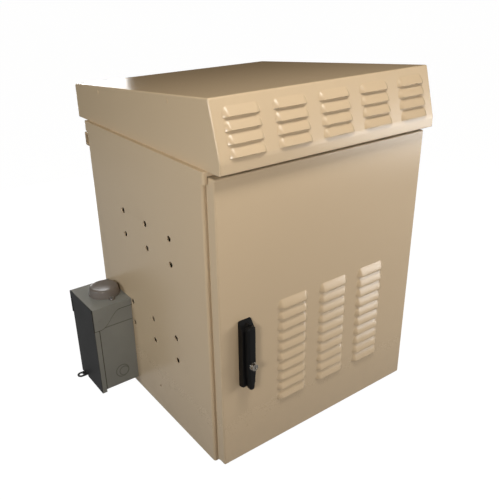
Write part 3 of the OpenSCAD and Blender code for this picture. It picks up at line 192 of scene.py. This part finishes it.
def bareMetal(name, tone, dull, roughness, grain):
    # metal with fine scratches, longest along the axis of the smallest grain, and cloudy dullness
    spec = metalSpec
    material, shader, place = newFinish(name)
    stretched = place.node("ShaderNodeMapping", None, {"Vector": place, "Scale": grain})
    scratch = stretched.noise(*spec["scratch"])
    cloud = place.noise(*spec["cloud"])
    cloud.mixed(tone, dull).into(shader.inputs["Base Color"])
    rough = roughness + scratch * spec["scratchRoughness"] + cloud * spec["cloudRoughness"]
    rough.into(shader.inputs["Roughness"])
    shader.inputs["Metallic"].default_value = 1.0
    bumped(shader, scratch, spec["strength"], spec["distance"])
    return material


softSpec = {
    "pore": (3.0, 0.6), "mottleDetail": 2.0, "mottleScale": 0.06,
    "mottleShare": 0.6, "poreShare": 0.4, "poreRoughness": 0.12,
}


def softSolid(name, tone, pale, roughness, scale, strength, distance):
    # rubber, foam and moulded plastic: pores at one scale and mottling at a far larger one
    spec = softSpec
    material, shader, place = newFinish(name)
    pore = place.noise(scale, *spec["pore"])
    mottle = place.noise(scale * spec["mottleScale"], spec["mottleDetail"])
    blend = mottle * spec["mottleShare"] + pore * spec["poreShare"]
    blend.mixed(tone, pale).into(shader.inputs["Base Color"])
    (roughness + pore * spec["poreRoughness"]).into(shader.inputs["Roughness"])
    bumped(shader, pore, strength, distance)
    return material


boxLow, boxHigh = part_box("outlet_cap")
boxSpec = {
    "coverX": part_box("outlet_cover")[0][0] + 0.0016, "coverFade": 0.0012,
    "coverTone": colour(0.046, 0.046, 0.046),
    # the lap colour and widths below paint shade lines into the laps and knockout rings
    "lapShadeTone": colour(0.040, 0.036, 0.028), "lapWidth": 0.0012, "lapCore": 1.5, "lapShare": 0.9,
    "wingHigh": 0.020, "wingLow": 0.066, "wingStart": 0.03405, "wingEnd": 0.09307,
    "wingRim": 0.0003, "flangeX": boxLow[0] + 0.0163, "flangeRim": 0.0004,
    "seamZ": boxHigh[2] - 0.0635, "seamShare": 0.6,
    "middleY": 0.5 * (boxLow[1] + boxHigh[1]), "sideY": 0.0668,
    # knockout rings as (x, z, radius)
    "rings": ((-0.3585, 0.0640, 0.0185), (-0.3535, 0.0615, 0.0135)), "ringShare": 0.5,
}


def coverFace(place):
    # the outer face of the grey box's cover, and what lies further out
    return ((boxSpec["coverX"] - place.part("X")) / boxSpec["coverFade"]).clamped()


def paintedLapShade(place):
    # painted shade along the laps of the grey box's sides, dark lines standing in for the shadows
    # at
    # the steps and grooves: on the wing's S-shaped edge (half a cosine wave), beside the cover's
    # flange, in the seam and in the two knockout rings
    spec = boxSpec
    x, y, z = (place.part(axis) for axis in "XYZ")
    start, high = spec["wingStart"], spec["wingHigh"]
    share = ((boxHigh[0] - x - start) / (spec["wingEnd"] - start)).clamped()
    wave = (1 - place.math("COSINE", share * math.pi)) / 2
    edge = boxHigh[2] - high - wave * (spec["wingLow"] - high)
    below = place.math("LESS_THAN", z, edge)
    inner = place.math("GREATER_THAN", x, spec["flangeX"])
    front = place.math("LESS_THAN", y, spec["middleY"])

    def line(distance):
        return (spec["lapCore"] - place.math("ABSOLUTE", distance) / spec["lapWidth"]).clamped()

    found = [line(edge + spec["wingRim"] - z),
             line(x - spec["flangeX"] - spec["flangeRim"]) * below,
             line(z - spec["seamZ"]) * inner * below * spec["seamShare"]]
    for ringX, ringZ, radius in spec["rings"]:
        away = place.math("SQRT", (x - ringX) ** 2 + (z - ringZ) ** 2)
        found.append(line(away - radius) * front * spec["ringShare"])
    lines = found[0]
    for other in found[1:]:
        lines = place.math("MAXIMUM", lines, other)
    aside = place.math("ABSOLUTE", y - spec["middleY"])
    return lines * place.math("GREATER_THAN", aside, spec["sideY"]) * spec["lapShare"]


finish = {
    "cream_coat": creamCoat(),
    # grey paint: its second mark is painted shade along the laps and in the knockout rings
    "grey_paint": satinPaint(
        "greyPaint", colour(0.320, 0.324, 0.300), colour(0.37, 0.37, 0.345),
        roughness=0.46, gloss=0.06,
        marks=((coverFace, boxSpec["coverTone"]), (paintedLapShade, boxSpec["lapShadeTone"]))),
    "hub_paint": satinPaint(
        "hubPaint", colour(0.215, 0.186, 0.164), colour(0.30, 0.27, 0.25),
        roughness=0.18, gloss=0.5, strength=0.05),
    "black_cast": satinPaint(
        "blackCast", colour(0.006, 0.006, 0.006), colour(0.018, 0.018, 0.018),
        roughness=0.42, gloss=0.14),
    "zinc_plate": bareMetal(
        "zincPlate", colour(0.56, 0.58, 0.59), colour(0.38, 0.40, 0.41),
        roughness=0.34, grain=(40, 40, 8)),
    "steel": bareMetal(
        "steel", colour(0.60, 0.60, 0.61), colour(0.44, 0.44, 0.45),
        roughness=0.26, grain=(900, 900, 60)),
    "nickel": bareMetal(
        "nickel", colour(0.40, 0.37, 0.33), colour(0.26, 0.24, 0.21),
        roughness=0.16, grain=(300, 300, 300)),
    "copper_bar": bareMetal(
        "copperBar", colour(0.60, 0.30, 0.16), colour(0.34, 0.16, 0.09),
        roughness=0.30, grain=(30, 900, 900)),
    "red_insulator": softSolid(
        "redInsulator", colour(0.24, 0.018, 0.012), colour(0.32, 0.03, 0.02),
        roughness=0.24, scale=300.0, strength=0.05, distance=0.0003),
    "black_rubber": softSolid(
        "blackRubber", colour(0.012, 0.012, 0.012), colour(0.030, 0.030, 0.029),
        roughness=0.62, scale=700.0, strength=0.25, distance=0.0004),
    "filter_foam": softSolid(
        "filterFoam", colour(0.020, 0.021, 0.021), colour(0.075, 0.078, 0.078),
        roughness=0.85, scale=420.0, strength=0.9, distance=0.0012),
    "black_plastic": softSolid(
        "blackPlastic", colour(0.013, 0.013, 0.014), colour(0.026, 0.026, 0.027),
        roughness=0.40, scale=900.0, strength=0.10, distance=0.0003),
    "white_plastic": softSolid(
        "whitePlastic", colour(0.62, 0.62, 0.58), colour(0.70, 0.70, 0.66),
        roughness=0.32, scale=900.0, strength=0.06, distance=0.0003),
}
print("finishes:", len(finish))


meshSpec = {"weldDigits": 5, "sharp": math.radians(40), "edgeSegments": 2}


def gridQuads(rows, cols, keep=None):
    # the four corners of every cell of a grid of points; keep leaves cells out
    index = np.arange(rows * cols).reshape(rows, cols)
    quads = np.stack((index[:-1, :-1], index[:-1, 1:], index[1:, 1:], index[1:, :-1]), -1)
    return quads.reshape(-1, 4) if keep is None else quads[keep]


def weldParts(parts):
    # grids that meet become one skin: points within a hundredth of a millimetre are one point
    points = np.concatenate([p.reshape(-1, 3) for p, _ in parts])
    starts = np.cumsum([0] + [p.size // 3 for p, _ in parts[:-1]])
    places = np.round(points, meshSpec["weldDigits"])
    _, first, same = np.unique(places, axis=0, return_index=True, return_inverse=True)
    same = same.reshape(-1)
    faces = [list(dict.fromkeys(same[np.asarray(f) + start].tolist()))
             for (_, group), start in zip(parts, starts) for f in group]
    return points[first], [f for f in faces if len(f) > 2]


def addPiece(name, points, faces, body, slotName, stoodFor):
    mesh = bpy.data.meshes.new(name)
    mesh.from_pydata(points, [], faces)
    mesh.materials.append(finish[slotName])
    piece = bpy.data.objects.new(name, mesh)
    bpy.context.scene.collection.objects.link(piece)
    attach(piece, body)
    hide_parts(stoodFor)
    return piece


def rounded(piece, width):
    bevel = piece.modifiers.new("roundedEdges", "BEVEL")
    bevel.width, bevel.segments = width, meshSpec["edgeSegments"]
    bevel.limit_method, bevel.angle_limit = "ANGLE", meshSpec["sharp"]
    bevel.use_clamp_overlap = False
    bevel.miter_outer = "MITER_ARC"


def thickened(piece, sheet):
    wall = piece.modifiers.new("sheet", "SOLIDIFY")
    wall.thickness, wall.offset = sheet, -1
    wall.use_even_offset = True
    wall.use_quality_normals = True


def settled(piece):
    # the modifiers' result becomes the mesh, and its sharp edges stay crisp
    shaped = piece.evaluated_get(bpy.context.evaluated_depsgraph_get())
    mesh = bpy.data.meshes.new_from_object(shaped)
    piece.modifiers.clear()
    piece.data = mesh
    mesh.shade_smooth()
    mesh.set_sharp_from_angle(angle=meshSpec["sharp"])
    piece.modifiers.new("evenNormals", "WEIGHTED_NORMAL").keep_sharp = True


bodies = frame["record"]["behaviour"]["bodies"]
bodyOf = {node: body for body, nodes in bodies.items() for node in nodes}
slotOf = {entry["node"]: entry["material_slot"] for entry in frame["record"]["subparts"]}
# blackened, as nothing bright shows there
slotOf.update(lever_pin="black_cast", handle_spindle="black_cast")


def dressedNode(node, edge):
    # a CAD piece merged into one mesh, with its edges rounded
    source = frame["nodes"][node].data
    co = np.empty(3 * len(source.vertices), np.float32)
    corner = np.empty(len(source.loops), np.int32)
    source.vertices.foreach_get("co", co)
    source.loops.foreach_get("vertex_index", corner)
    points, faces = weldParts([(co.reshape(-1, 3).astype(float), corner.reshape(-1, 3))])
    piece = addPiece(node + "Dressed", points, faces, bodyOf[node], slotOf[node], node)
    if edge:
        rounded(piece, edge)
    settled(piece)


# a louver's sizes, the numbers of grid lines round its end and up its cap, the height from which
# its mouth is open, and how near two heights count as one
louverSpec = {
    "louverHeight": 0.020, "louverReach": 0.008, "louverEnd": 0.012, "louverBulge": 0.45,
    "louverFillet": 0.0015, "lipGap": 0.0002, "endLines": 15, "capLines": 13,
    "mouthRise": 0.0007, "awayLimit": 1.6, "hair": 1e-7,
}


def louverRise(across, up, spec):
    # a leaning face, highest at the lip and falling to the sheet one louver height above it along
    # a slightly bulged line; its ends fall the same way round an ellipse, and a soft maximum blends
    # it into the sheet
    end, soft = spec["louverEnd"], spec["louverFillet"]
    past = np.maximum(np.abs(across) - (spec["louverWidth"] / 2 - end), 0) / end
    away = np.minimum(np.hypot(past, up / spec["louverHeight"]), spec["awayLimit"])
    rise = spec["louverReach"] * (1 - away) * (1 + spec["louverBulge"] * away)
    share = np.maximum(soft - np.abs(rise), 0) / soft
    return np.maximum(rise, 0) + share ** 2 * soft / 4


def louverLines(spec, low, high):
    # grid lines across the columns, close together at the louvers' round ends
    half = spec["louverWidth"] / 2
    bend = np.linspace(half - spec["louverEnd"], half + spec["louverFillet"], spec["endLines"])
    column = np.concatenate((-bend[::-1], bend))
    return np.unique(np.concatenate([[low, high]] + [c + column for c in spec["columns"]]))


def louverRows(spec, low, high):
    # grid lines up the rows: one just under each lip, one at the lip, then up the cap
    up = np.linspace(0, spec["louverHeight"] + spec["louverFillet"], spec["capLines"])
    rows = [np.concatenate(([lip - spec["lipGap"]], lip + up)) for lip in spec["lips"]]
    return np.unique(np.concatenate([[low, high]] + rows))


def louverField(x, z, spec):
    # height of every louver over a grid, and which cells stay: those in front of a lip are open
    across = x[None, :] - np.asarray(spec["columns"])[:, None]
    nearest = across[np.abs(across).argmin(0), np.arange(len(x))]
    lips, hair = np.asarray(spec["lips"]), spec["hair"]
    under = np.searchsorted(lips, z + hair) - 1
    up = np.where(under >= 0, z - lips[np.maximum(under, 0)], 1.0)
    rise = louverRise(nearest[None, :], up[:, None], spec)
    rise[under < 0] = 0
    atLip = np.isclose(z[1:, None], lips[None, :], atol=hair).any(1)
    tall = rise[1:] > spec["mouthRise"]
    return rise, ~(atLip[:, None] & tall[:, :-1] & tall[:, 1:])


doorLow, doorHigh = (np.array(v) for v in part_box("door_panel"))
doorSpec = {
    **louverSpec, "louverWidth": 0.090,
    "columns": [0.0243 + i * 0.1262 for i in (-1, 0, 1)],
    "lips": [0.127 + k * 0.0279 for k in range(10)],
    "sheet": 0.0025, "bend": 0.0040, "bendSteps": 7, "cornerFan": 5,
    "relief": 0.0218, "reliefLow": 0.0266, "reliefHigh": 0.6944, "reliefStep": 0.00005,
}


def doorSkin():
    # the face is a grid with its louvers; rings round it turn through the bend and run back as the
    # folded edges, which are cut shorter along the hinge
    spec = doorSpec
    bend, cutLow, cutHigh = spec["bend"], spec["reliefLow"], spec["reliefHigh"]
    front = doorLow[1] + spec["louverReach"]
    x = louverLines(spec, doorLow[0] + bend, doorHigh[0] - bend)
    z = louverRows(spec, doorLow[2] + bend, doorHigh[2] - bend)
    cuts = [cut + side * spec["reliefStep"] for cut in (cutLow, cutHigh) for side in (-1, 1)]
    z = np.unique(np.concatenate((z, cuts)))
    rise, keep = louverField(x, z, spec)
    xs, zs = np.meshgrid(x, z)
    face = np.stack((xs, front - rise, zs), -1)
    # the border of the face, once round, with a fan of directions at each corner
    fan = np.radians(np.linspace(0, 90, spec["cornerFan"]))[1:-1]
    sides = []
    for runX, runZ, degrees in ((x, np.full_like(x, z[0]), -90), (np.full_like(z, x[-1]), z, 0),
                                (x[::-1], np.full_like(x, z[-1]), 90),
                                (np.full_like(z, x[0]), z[::-1], 180)):
        run, facing = np.stack((runX, runZ), -1), math.radians(degrees)
        angle = np.concatenate((np.full(len(run), facing), facing + fan))
        run = np.concatenate((run, np.repeat(run[-1:], len(fan), 0)))
        sides.append(np.column_stack((run, angle)))
    borderX, borderZ, facing = np.concatenate(sides + [sides[0][:1]]).T
    depth = np.full(len(facing), doorHigh[1] - front)
    depth[(facing == 0) & (borderZ > cutLow) & (borderZ < cutHigh)] = spec["relief"]
    turn = np.radians(np.linspace(0, 90, spec["bendSteps"]))[:, None]
    spread = np.concatenate((bend * np.sin(turn), [[bend], [bend]]))
    back = np.concatenate((np.repeat(bend * (1 - np.cos(turn)), len(facing), 1),
                           [0.5 * (bend + depth), depth]))
    ring = np.stack((borderX + spread * np.cos(facing), front + back,
                     borderZ + spread * np.sin(facing)), -1)
    points, faces = weldParts([(face, gridQuads(len(z), len(x), keep)),
                               (ring, gridQuads(len(ring), len(facing))[:, ::-1])])
    piece = addPiece("doorSkin", points, faces, "door", "cream_coat", "door_panel")
    thickened(piece, spec["sheet"])
    settled(piece)


hoodLow, hoodHigh = (np.array(v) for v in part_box("hood_shell"))
hoodSpec = {
    **louverSpec, "louverWidth": 0.08748,
    "columns": [i * 0.11878 for i in (-2, -1, 0, 1, 2)],
    "lips": [0.006 + k * 0.0251 for k in range(4)],
    "frontY": -0.3271, "foldZ": 0.750, "topY": -0.2937, "topZ": 0.865, "backTopZ": 0.809,
    "hem": 0.0135, "sheet": 0.0025, "bend": 0.0050, "bendSteps": 4,
    # shares of the full bend at the corners, and how near a point counts as on one
    "corner": 0.72, "hemBend": 0.45, "near": 1e-5, "level": 1e-6,
}


def hoodSkin():
    # one outline from hem to hem, carried across the width; the leaning fascia carries the louvers
    spec = hoodSpec
    low, back, frontY = hoodLow[2], hoodHigh[1], spec["frontY"]
    fascia = np.array([spec["topY"] - frontY, spec["topZ"] - spec["foldZ"]])
    length = np.hypot(*fascia)
    along = fascia / length
    x = louverLines(spec, hoodLow[0], hoodHigh[0])
    up = louverRows(spec, 0.0, length)
    rise, keep = louverField(x, up, spec)
    before = np.array([[frontY + spec["hem"], low], [frontY, low]])
    slope = np.array([frontY, spec["foldZ"]]) + up[:, None] * along
    after = np.array([[back, spec["backTopZ"]], [back, low], [back - spec["hem"], low]])
    outline = np.concatenate((before, slope, after))
    lift = np.zeros((len(outline), len(x)))
    lift[len(before):len(before) + len(up)] = rise
    cells = np.ones((len(outline) - 1, len(x) - 1), bool)
    cells[len(before):len(before) + len(up) - 1] = keep
    normal = np.array([-along[1], along[0]])
    skin = np.stack((np.broadcast_to(x, lift.shape), outline[:, :1] + lift * normal[0],
                     outline[:, 1:] + lift * normal[1]), -1)
    rim = list(range(1, len(outline) - 1))
    end = list(range(len(rim)))
    points, faces = weldParts([(skin, gridQuads(len(outline), len(x), cells)),
                               (skin[rim, 0], [end]), (skin[rim, -1], [end[::-1]])])
    piece = addPiece("hoodSkin", points, faces, "cabinet", "cream_coat", "hood_shell")
    # the bends are edges that run along a corner of the outline, or round an end
    mesh = piece.data
    pair = np.empty(2 * len(mesh.edges), np.int32)
    mesh.edges.foreach_get("vertices", pair)
    a, b = points[pair[0::2]], points[pair[1::2]]
    atEnd = np.abs(a[:, 0]) > hoodHigh[0] - spec["near"]
    upright = np.abs(a[:, 0] - b[:, 0]) < spec["level"]
    weight = np.where(atEnd & upright, spec["corner"], 0.0)
    for place, amount in (((frontY, low), spec["hemBend"]), ((frontY, spec["foldZ"]), 1.0),
                          ((spec["topY"], spec["topZ"]), spec["corner"]),
                          ((back, spec["backTopZ"]), spec["corner"]),
                          ((back, low), spec["hemBend"])):
        away = np.maximum(np.abs(a[:, 1:] - place), np.abs(b[:, 1:] - place)).max(1)
        weight[away < spec["near"]] = amount
    bevelWeight = mesh.attributes.new("bevel_weight_edge", "FLOAT", "EDGE")
    bevelWeight.data.foreach_set("value", weight.astype(np.float32))
    bends = piece.modifiers.new("bends", "BEVEL")
    bends.limit_method, bends.width, bends.segments = "WEIGHT", spec["bend"], spec["bendSteps"]
    bends.use_clamp_overlap = False
    thickened(piece, spec["sheet"])
    settled(piece)


doorSkin()
print("door skin made")
hoodSkin()
print("hood skin made")

plainEdge = 0.0003
edgeOf = {
    "body_shell": 0.0006, "lid": 0.0012, "outlet_cap": 0.0004, "outlet_cover": 0.0004,
    "outlet_box": 0.0002, "handle_housing": 0.0005, "handle_lever": 0.0004, "breaker": 0,
    "breaker_toggle": 0, "hub_cap": 0.0006, "padlock_tab": 0.0005, "lock_barrel": 0.0005,
    "lock_plug": 0.0002, "hub_screws": 0.0004, "hood_rivets": 0.0004,
}
for node in frame["nodes"]:
    if node not in ("door_panel", "hood_shell"):
        dressedNode(node, edgeOf.get(node, plainEdge))
print("other pieces dressed")


stageSpec = {
    "flat": 2.0, "reach": 60.0, "wall": 30.0, "turns": 64,
    "tone": colour(0.14, 0.14, 0.14), "roughness": 0.85, "grain": 40.0, "grainRoughness": 0.1,
    "glow": 1.97, "glowShare": 0.5, "mirrorShare": 0.4, "glowFull": 2.0, "glowEnd": 4.0,
}


def paleStage():
    # floor and backdrop: a flat disc whose rim turns up, swept once round the Z axis;
    # camera and clear rays see it half lit and half glowing, and the lit half keeps the shadow;
    # mirrored rays see a weaker glow, and near the object only, as in a dark room
    spec = stageSpec
    radius = np.array([0.0, spec["flat"], spec["reach"], spec["reach"]])
    height = np.array([0.0, 0.0, 0.0, spec["wall"]])
    turn = np.linspace(0, 2 * np.pi, spec["turns"] + 1)[:, None]
    sweep = np.stack((radius * np.cos(turn), radius * np.sin(turn),
                      np.broadcast_to(height, (len(turn), len(height)))), -1)
    points, faces = weldParts([(sweep, gridQuads(len(turn), len(height))[:, ::-1])])
    mesh = bpy.data.meshes.new("stage")
    mesh.from_pydata(points, [], faces)
    stage = bpy.data.objects.new("stage", mesh)
    bpy.context.scene.collection.objects.link(stage)
    material, shader, place = newFinish("stagePaint")
    tree = material.node_tree
    shader.inputs["Base Color"].default_value = spec["tone"]
    rough = spec["roughness"] + place.noise(spec["grain"]) * spec["grainRoughness"]
    rough.into(shader.inputs["Roughness"])
    path = tree.nodes.new("ShaderNodeLightPath").outputs
    camera, clear, mirrored = (Field(tree, path["Is %s Ray" % kind])
                               for kind in ("Camera", "Transmission", "Glossy"))
    fade = spec["glowEnd"] - spec["glowFull"]
    near = ((spec["glowEnd"] - place.length()) / fade).clamped()
    direct = camera.math("MAXIMUM", camera, clear)
    seen = camera.math("MAXIMUM", direct, mirrored * near * spec["mirrorShare"])
    white = tree.nodes.new("ShaderNodeEmission")
    white.inputs["Strength"].default_value = spec["glow"]
    mix = tree.nodes.new("ShaderNodeMixShader")
    (seen * spec["glowShare"]).into(mix.inputs[0])
    tree.links.new(shader.outputs[0], mix.inputs[1])
    tree.links.new(white.outputs[0], mix.inputs[2])
    tree.links.new(mix.outputs[0], tree.nodes["Material Output"].inputs["Surface"])
    mesh.materials.append(material)


worldSpec = {"fill": colour(1.00, 0.84, 0.62), "fillStrength": 0.12}


def studioWorld():
    world = bpy.data.worlds.new("studio")
    bpy.context.scene.world = world
    world.use_nodes = True
    fill = world.node_tree.nodes["Background"]
    fill.inputs["Color"].default_value = worldSpec["fill"]
    fill.inputs["Strength"].default_value = worldSpec["fillStrength"]


lampSpec = {
    "key": {"at": (-1.42, -1.25, 1.15), "aim": (-0.15, -0.25, 0.70),
            "size": (0.26, 0.26), "watts": 12.0, "tone": (1.0, 0.97, 0.93)},
    "high": {"at": (-0.10, -0.85, 1.75), "aim": (-0.03, -0.30, 0.60),
             "size": (0.6, 0.3), "watts": 9.0, "tone": (1.0, 0.97, 0.92)},
    "front": {"at": (1.50, -1.45, 0.62), "aim": (0.25, -0.30, 0.50),
              "size": (0.8, 0.8), "watts": 16.5, "tone": (1.0, 1.0, 1.0)},
    "left": {"at": (-2.00, 0.20, 0.90), "aim": (-0.30, 0.05, 0.65),
             "size": (0.5, 0.5), "watts": 8.6, "tone": (0.88, 0.95, 1.0)},
    "back": {"at": (0.20, 2.00, 0.55), "aim": (0.00, 0.30, 0.45),
             "size": (0.8, 0.8), "watts": 12.0, "tone": (1.0, 1.0, 1.0)},
    "top": {"at": (0.10, 0.50, 1.90), "aim": (0.00, 0.00, 0.84),
            "size": (0.8, 0.8), "watts": 1.2, "tone": (1.0, 0.85, 0.64)},
}


def addLamp(name, spec):
    lamp = bpy.data.lights.new(name, "AREA")
    lamp.shape, lamp.energy = "RECTANGLE", spec["watts"]
    lamp.size, lamp.size_y = spec["size"]
    lamp.color = spec["tone"]
    holder = bpy.data.objects.new(name, lamp)
    holder.location = spec["at"]
    holder.visible_camera = False
    way = Vector(spec["aim"]) - Vector(spec["at"])
    holder.rotation_euler = way.to_track_quat("-Z", "Y").to_euler()
    bpy.context.scene.collection.objects.link(holder)


cameraSpec = {
    "at": (-0.90498, -1.22673, 1.08040),
    "right": (0.80080, -0.59880, -0.01288),
    "up": (0.26221, 0.33118, 0.90641),
    "back": (-0.53849, -0.72922, 0.42221),
    "sensor": 36.0, "focalPixels": 612.12, "widthPixels": 499,
}


def photoCamera():
    spec = cameraSpec
    lens = bpy.data.cameras.new("photoCamera")
    lens.sensor_fit = "HORIZONTAL"
    lens.sensor_width = spec["sensor"]
    lens.lens = spec["sensor"] * spec["focalPixels"] / spec["widthPixels"]
    camera = bpy.data.objects.new("photoCamera", lens)
    turn = Matrix((spec["right"], spec["up"], spec["back"])).transposed()
    camera.matrix_world = Matrix.Translation(spec["at"]) @ turn.to_4x4()
    bpy.context.scene.collection.objects.link(camera)
    bpy.context.scene.camera = camera


paleStage()
studioWorld()
for name, spec in lampSpec.items():
    addLamp(name, spec)
photoCamera()
bpy.context.scene.view_settings.view_transform = "Standard"
print("stage, lamps and camera set")
